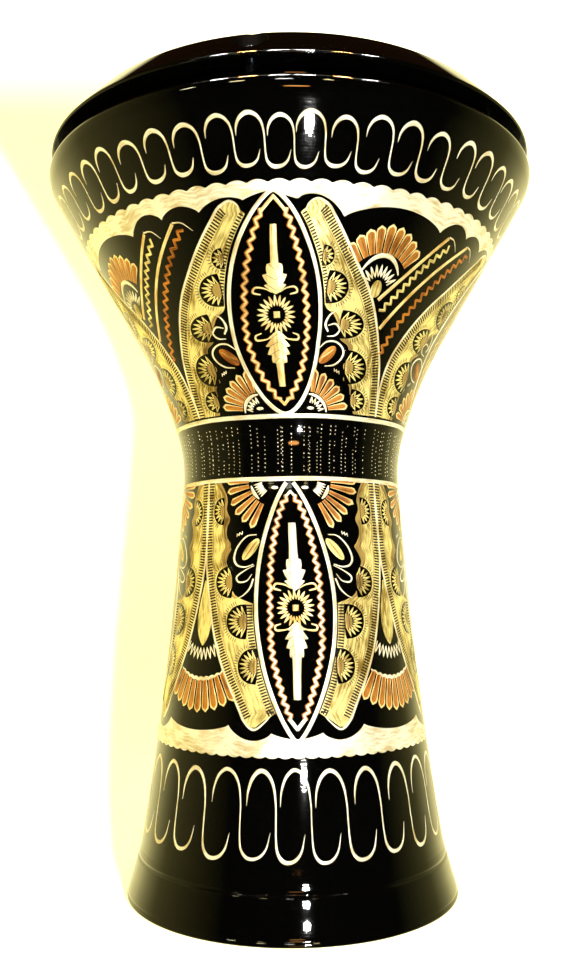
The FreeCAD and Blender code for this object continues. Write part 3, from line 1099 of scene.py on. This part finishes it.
# ---------------------------------------------------------------- materials
class Nodes:
    """A node tree whose nodes are added and joined in short lines."""

    def __init__(self, tree):
        self.tree = tree
        tree.nodes.clear()

    def add(self, kind, **inputs):
        """A node, with values for its inputs; an underscore stands for a space."""
        node = self.tree.nodes.new("ShaderNode" + kind)
        for key, value in inputs.items():
            node.inputs[key.replace("_", " ")].default_value = value
        return node

    def join(self, source, output, target, socket):
        self.tree.links.new(source.outputs[output], target.inputs[socket])

    def math(self, operation, source, output, number=0.5):
        """An operation on one output and a number."""
        node = self.add("Math")
        node.operation = operation
        node.inputs[1].default_value = number
        self.join(source, output, node, 0)
        return node

    def mix(self, share, output, source, colour):
        """The source's colour, or the plain colour where the share's output is 1."""
        node = self.add("Mix")
        node.data_type = "RGBA"
        node.inputs[7].default_value = (*colour, 1)
        self.join(share, output, node, 0)
        self.join(source[0], source[1], node, 6)
        return node

    def ramp(self, source, output, stops):
        """Colours over an output, from stops that are each a place and a colour."""
        node = self.add("ValToRGB")
        elements = node.color_ramp.elements
        while len(elements) < len(stops):
            elements.new(0.5)
        for element, (place, colour) in zip(elements, stops):
            element.position = place
            element.color = (*colour, 1.0)
        self.join(source, output, node, "Fac")
        return node

    def position(self):
        """The place's X, Y and Z, as separate outputs."""
        split = self.add("SeparateXYZ")
        self.join(self.add("NewGeometry"), "Position", split, "Vector")
        return split

    def noise(self, scale, detail=3.0, stretch=(1, 1, 1)):
        """Noise in object coordinates, stretched by a scale for each axis."""
        mapping = self.add("Mapping", Scale=stretch)
        self.join(self.add("TexCoord"), "Object", mapping, "Vector")
        return self.noise_on(mapping, scale, detail)

    def noise_on(self, mapping, scale, detail):
        """Noise over the places that a mapping gives."""
        node = self.add("TexNoise", Scale=scale, Detail=detail)
        self.join(mapping, "Vector", node, "Vector")
        return node


class Material(Nodes):
    """A material round one Principled shader."""

    def __init__(self, name, **settings):
        self.material = bpy.data.materials.new(name)
        self.material.use_nodes = True
        super().__init__(self.material.node_tree)
        self.shader = self.add("BsdfPrincipled", **settings)
        self.output = self.add("OutputMaterial")
        self.join(self.shader, "BSDF", self.output, "Surface")

    def tint(self, source, output, stops):
        """Base colour from a ramp over an output."""
        self.join(self.ramp(source, output, stops), "Color", self.shader, "Base Color")

    def roughen(self, source, low, high, high_at=0.7):
        """Roughness between two values, from the source's Fac."""
        stops = ((0.3, (low,) * 3), (high_at, (high,) * 3))
        self.join(self.ramp(source, "Fac", stops), "Color", self.shader, "Roughness")

    def relief(self, *layers):
        """Bumps laid over each other, each a source, a strength and a distance in metres."""
        under = None
        for source, strength, distance in layers:
            node = self.add("Bump", Strength=strength, Distance=distance)
            self.join(source, "Fac", node, "Height")
            if under:
                self.join(under, "Normal", node, "Normal")
            under = node
        self.join(under, "Normal", self.shader, "Normal")
        return self.material


def lacquer(name, roughness=0.035):
    """Deep black gloss lacquer with faint turning marks and a little orange peel."""
    black = (0.0006, 0.0006, 0.0006, 1)
    m = Material(name, Base_Color=black, Coat_Weight=1.0, Coat_Roughness=0.012, Specular_IOR_Level=0.25)
    turned = m.noise(30.0, 4.0, (0.4, 0.4, 60.0))
    m.roughen(turned, roughness, roughness * 1.8, 0.75)
    return m.relief((turned, 0.02, 0.0004), (m.noise(260.0, 1.0), 0.03, 0.0006))


def burr_and_painted_shade(name, strength=1.0):
    """The dull black left standing between fine cuts, and painted shade in the ring's pockets. Strength
    scales how much light it sends back.
    """
    m = Material(name, Specular_IOR_Level=0.15 * strength)
    specks = m.noise(1500.0)
    dark = tuple(strength * c for c in (0.002, 0.0015, 0.001))
    light = tuple(strength * c for c in (0.020, 0.014, 0.005))
    m.tint(specks, "Fac", ((0.35, dark), (0.75, light)))
    m.roughen(specks, 0.45, 0.7)
    return m.relief((specks, 0.3, 0.0002))


def bright_cut(name, pale, deep):
    """Metal bared by the graver: streaks along each cut, fine chatter across it, and a grain."""
    m = Material(name, Metallic=0.5, Coat_Weight=0.12, Coat_Roughness=0.15)
    uv = m.add("UVMap")
    uv.uv_map = "cut"
    stretch = m.add("Mapping", Scale=(0.10, 0.75, 1.0))
    m.join(uv, "UV", stretch, "Vector")
    streaks = m.noise_on(stretch, 1.0, 5.0)
    blend = m.math("ADD", streaks, "Fac")
    m.join(m.noise(75.0, 4.0), "Fac", blend, 1)
    m.tint(m.math("MULTIPLY", blend, 0, 0.5), 0, ((0.40, deep), (0.54, pale)))
    grain = m.noise(1400.0, 2.0, (1, 1, 5))
    m.roughen(grain, 0.272, 0.442)
    waves = m.add("TexWave", Scale=0.35, Distortion=0.6, Detail=1.0)
    waves.bands_direction = "X"
    m.join(uv, "UV", waves, "Vector")
    return m.relief((waves, 0.35, 0.0002), (streaks, 0.25, 0.0003), (grain, 0.10, 0.0002))


def cast_inside(name):
    """Bare cast aluminium inside the shell, black lacquer on the deck above it."""
    m = Material(name)
    deck = m.math("GREATER_THAN", m.position(), "Z", (DECK_BOTTOM - 0.1) * MM)
    sand = m.noise(900.0, 6.0)
    metal = m.ramp(sand, "Fac", ((0.3, (0.20, 0.20, 0.20)), (0.7, (0.42, 0.42, 0.41))))
    m.join(m.mix(deck, 0, (metal, "Color"), (0.004, 0.004, 0.005)), 2, m.shader, "Base Color")
    for socket, inside, above in (("Roughness", 0.55, 0.12), ("Metallic", 0.8, 0.0)):
        choice = m.add("MapRange", To_Min=inside, To_Max=above)
        m.join(deck, 0, choice, "Value")
        m.join(choice, "Result", m.shader, socket)
    return m.relief((sand, 0.25, 0.0006))


def steel(name, colour, roughness):
    """Brushed steel or aluminium."""
    m = Material(name, Metallic=1.0)
    brushed = m.noise(2200.0, 3.0, (1, 1, 0.2))
    m.tint(brushed, "Fac", ((0.3, tuple(c * 0.8 for c in colour)), (0.7, colour)))
    m.roughen(brushed, roughness, roughness * 1.5)
    return m.relief((brushed, 0.08, 0.0002))


def film(name):
    """Milky polyester film, a little cloudy, with a glossy face."""
    m = Material(name, Transmission_Weight=0.15, IOR=1.5, Coat_Weight=0.4, Coat_Roughness=0.1)
    cloud = m.noise(60.0, 5.0)
    m.tint(cloud, "Fac", ((0.3, (0.83, 0.82, 0.78)), (0.7, (0.87, 0.87, 0.84))))
    m.roughen(cloud, 0.25, 0.34)
    return m.relief((m.noise(1800.0, 2.0), 0.04, 0.0002))


# Each engraved metal's pale and deep tone and its slot.
METALS = {
    "silver": ((0.90, 0.88, 0.80), (0.60, 0.50, 0.30), "silver_engraving"),
    "pale_gold": ((0.88, 0.74, 0.40), (0.56, 0.34, 0.09), "gold_engraving"),
    "gold": ((0.86, 0.75, 0.33), (0.26, 0.17, 0.02), "gold_engraving"),
    "copper": ((0.52, 0.19, 0.02), (0.16, 0.04, 0.003), "copper_engraving"),
    "bronze": ((0.42, 0.29, 0.09), (0.12, 0.07, 0.015), "gold_engraving"),
}


def make_materials():
    """The material and slot of each kind of mark."""
    made = {}
    for metal, (pale, deep, slot) in METALS.items():
        made[metal] = (bright_cut(metal + "_cut", pale, deep), slot)
    made["shade"] = (burr_and_painted_shade("shade_in_cuts"), "black_lacquer")
    made["lacquer"] = (lacquer("lacquer_field", 0.12), "black_lacquer")
    return made


# ---------------------------------------------------------------- fittings
def dress_cad(frame):
    """Finishes for the CAD pieces whose shape stays, with painted shade on the screws' steel."""
    # Painted shade: the screws, washers and inserts get steel darkened almost to black, so that the
    # screws in the gap under the ring read as dark and only the flash's glint stays bright.
    steel_darkened_to_shade = steel("steel_painted_dark_shade", (0.09, 0.11, 0.15), 0.18)
    bare = steel("bare_aluminium", (0.78, 0.78, 0.79), 0.32)
    finishes = {
        "flesh_hoop": bare,
        "drumhead_film": film("polyester_film"),
    }
    for number in range(1, SCREWS + 1):
        finishes[f"washer_{number}"] = steel_darkened_to_shade
        finishes[f"threaded_insert_{number}"] = steel_darkened_to_shade
        finishes[f"tuning_screw_{number}"] = steel_darkened_to_shade
    for node, material in finishes.items():
        mesh = frame["nodes"][node].data
        mesh.materials.clear()
        mesh.materials.append(material)


# ---------------------------------------------------------------- stage, lights, camera
# The backdrop, in metres: its wall's place, the bend's radius and the gap under the foot.
WALL_BEHIND = 0.28
WALL_BEND = 0.22
UNDER_FOOT = 0.00005


def area_light(name, place, target, size, energy, colour):
    """An oval lamp that the camera doesn't see, aimed at a target."""
    data = bpy.data.lights.new(name, "AREA")
    data.shape = "ELLIPSE"
    data.size, data.size_y = size
    data.energy = energy
    data.color = colour
    light = bpy.data.objects.new(name, data)
    light.location = place
    light.rotation_euler = (Vector(target) - Vector(place)).to_track_quat("-Z", "Y").to_euler()
    light.visible_camera = False
    bpy.context.scene.collection.objects.link(light)
    return light


def make_stage():
    """A pale floor that turns up into a wall close behind, clear when seen from behind. Its glow is
    painted light: below about 0.6 m it is pale yellow, warm fill painted into the flash's shadow, and
    above it is a painted pool of bright white light.
    """
    m = Material("pale_paper_painted_glow", Base_Color=(0.88, 0.87, 0.82, 1), Roughness=0.9)
    m.shader.inputs["Specular IOR Level"].default_value = 0.1
    # Painted light: the paper glows, pale yellow low down and bright white above the drum's height,
    # standing in for lamps that would light the backdrop.
    m.shader.inputs["Emission Strength"].default_value = 0.55
    painted_glow_by_height = m.ramp(m.position(), "Z", ((0.60, (1.0, 0.96, 0.30)), (0.665, (2.0, 2.0, 1.8))))
    m.join(painted_glow_by_height, "Color", m.shader, "Emission Color")
    choice = m.add("MixShader")
    m.join(m.add("NewGeometry"), "Backfacing", choice, 0)
    m.join(m.shader, 0, choice, 1)
    m.join(m.add("BsdfTransparent"), 0, choice, 2)
    m.join(choice, 0, m.output, "Surface")
    half_width = 3.0
    section = [(-3.0, 0.0), (-1.5, 0.0), (-0.5, 0.0)]
    for turn in np.radians(np.linspace(0, 90, 25)):
        back = WALL_BEHIND - WALL_BEND + WALL_BEND * math.sin(turn)
        section.append((back, WALL_BEND * (1 - math.cos(turn))))
    section.append((WALL_BEHIND, 3.0))
    verts = [(x, y, z - UNDER_FOOT) for y, z in section for x in (-half_width, half_width)]
    faces = [(2 * k, 2 * k + 1, 2 * k + 3, 2 * k + 2) for k in range(len(section) - 1)]
    floor = mesh_object("floor", verts, faces, m.material)
    floor.visible_glossy = False
    bpy.data.collections.new("paper").objects.link(floor)


# What the lacquer mirrors at eye level: an angle, with 0 in front, and a colour.
AROUND = (
    (-180, (1.10, 1.00, 0.55)),
    (-135, (1.30, 1.15, 0.45)),
    (-105, (0.42, 0.36, 0.11)),
    (-52, (0.034, 0.032, 0.008)),
    (-48, (0.0012, 0.0018, 0.0010)),
    (74, (0.0012, 0.0018, 0.0010)),
    (78, (0.034, 0.034, 0.009)),
    (112, (0.32, 0.29, 0.09)),
    (140, (1.15, 1.02, 0.42)),
    (180, (1.10, 1.00, 0.55)),
)


def make_world():
    """A room for the lacquer to mirror: dark in front, olive beside, pale behind, brown overhead."""
    world = bpy.data.worlds.new("room")
    bpy.context.scene.world = world
    world.use_nodes = True
    n = Nodes(world.node_tree)
    split = n.add("SeparateXYZ")
    n.join(n.add("TexCoord"), "Generated", split, 0)
    turn = n.math("ARCTAN2", split, "X")
    n.join(n.math("MULTIPLY", split, "Y", -1.0), 0, turn, 1)
    share = n.add("MapRange", From_Min=-math.pi, From_Max=math.pi)
    n.join(turn, 0, share, "Value")
    around = n.ramp(share, "Result", [((angle + 180) / 360, colour) for angle, colour in AROUND])
    overhead = n.ramp(split, "Z", ((0.60, (0, 0, 0)), (0.66, (1, 1, 1))))
    room = n.mix(overhead, "Color", (around, "Color"), (0.012, 0.005, 0.0015))
    seen = n.mix(n.add("LightPath"), "Is Camera Ray", (room, 2), (0.86, 0.85, 0.78))
    background = n.add("Background")
    n.join(seen, 2, background, "Color")
    n.join(background, 0, n.add("OutputWorld"), "Surface")


# Lamps that only the gloss mirrors: name, place, aim, size, energy and colour.
STRIP = ("strip", (0, -1.0, 1.92), (0, 0, 0.3), (2.4, 0.05), 3, (1.0, 0.93, 0.75))
GLOW = ("painted_glow_by_height", (0.08, -1.6, 0.035), (0, 0, 0.25), (0.3, 0.07), 0.8, (1.0, 0.42, 0.10))
# Soft fill that the gloss doesn't mirror, in the same order.
FILL = (
    ("left_warm", (-1.1, -0.45, 0.7), (0, 0, 0.22), (0.7, 1.1), 13, (1.0, 0.73, 0.08)),
    ("right_warm", (1.1, -0.30, 0.7), (0, 0, 0.22), (0.7, 1.1), 12, (1.0, 0.90, 0.62)),
    ("top_soft", (0.0, -0.9, 1.7), (0, 0.2, 0.2), (1.4, 1.4), 13, (1.0, 0.88, 0.45)),
)
# Ceiling lamps: place across the room and strength.
CEILING = ((-0.75, 0.9), (-0.42, 1.0), (-0.1, 0.8), (0.16, 0.9), (0.55, 1.0), (0.9, 0.9))
# Lamps a little above the rim: angle from the front, width, energy and colour.
RIM_LAMPS = (
    (-40, 0.14, 0.24, (1.0, 0.92, 0.55)),
    (-20, 0.13, 0.24, (1.0, 0.85, 0.45)),
    (-2, 0.14, 0.24, (1.0, 0.97, 0.9)),
    (15, 0.09, 0.16, (1.0, 0.8, 0.4)),
)
RIM_LAMP_REACH = 1.2
RIM_LAMP_HEIGHT = 0.535
FLASH_AT = (0.077, -0.52, 0.121)
FLASH_COLOUR = (1.0, 0.99, 0.97)


def room_lamps():
    """Every lamp that only shows as a reflection."""
    aim = (0, 0, 0.3)
    lamps = []
    for number, (x, strength) in enumerate(CEILING):
        colour = (1.0, 0.55, 0.18) if number % 3 == 1 else (1.0, 0.97, 0.92)
        lamps.append((f"lamp_{number}", (x, -1.0, 1.9), aim, (0.22, 0.05), 24 * strength, colour))
    lamps.append(STRIP)
    for number, (angle, width, energy, colour) in enumerate(RIM_LAMPS):
        place = (*(RIM_LAMP_REACH * outward(angle)), RIM_LAMP_HEIGHT)
        lamps.append((f"low_lamp_{number}", place, aim, (width, 0.016), energy, colour))
    return lamps + [GLOW]


def make_lights():
    """A small flash beside the lens, warm fill from both sides, and lamps round the room."""
    area_light("flash", FLASH_AT, (0, 0, 0.2), (0.034, 0.009), 2.2, FLASH_COLOUR)
    paper_flash = area_light("paper_flash", FLASH_AT, (0, 0, 0.25), (0.02, 0.02), 6.5, FLASH_COLOUR)
    paper_flash.light_linking.receiver_collection = bpy.data.collections["paper"]
    for lamp in room_lamps():
        area_light(*lamp).visible_diffuse = False
    for lamp in FILL:
        area_light(*lamp).visible_glossy = False


CAMERA_AT = (0, -0.5708, 0.1854)
CAMERA_ROLL = 0.25
LENS = 35.92
FRAME_SHIFT = (-0.0066, 0.1024)


def make_camera():
    """Level camera with the frame moved up, as a rising front keeps the drum's sides true."""
    data = bpy.data.cameras.new("camera")
    data.sensor_width = 36.0
    data.lens = LENS
    data.shift_x, data.shift_y = FRAME_SHIFT
    data.clip_start = 0.01
    camera = bpy.data.objects.new("camera", data)
    camera.location = CAMERA_AT
    camera.rotation_euler = (math.radians(90), math.radians(CAMERA_ROLL), 0)
    bpy.context.scene.collection.objects.link(camera)
    bpy.context.scene.camera = camera


# ---------------------------------------------------------------- the scene
def main():
    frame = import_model()
    bpy.context.scene.view_settings.view_transform = "Standard"
    materials = make_materials()
    dress_cad(frame)
    shell_pieces()
    ring_piece()
    engraving(all_marks(), materials)
    make_stage()
    make_world()
    make_lights()
    make_camera()


main()
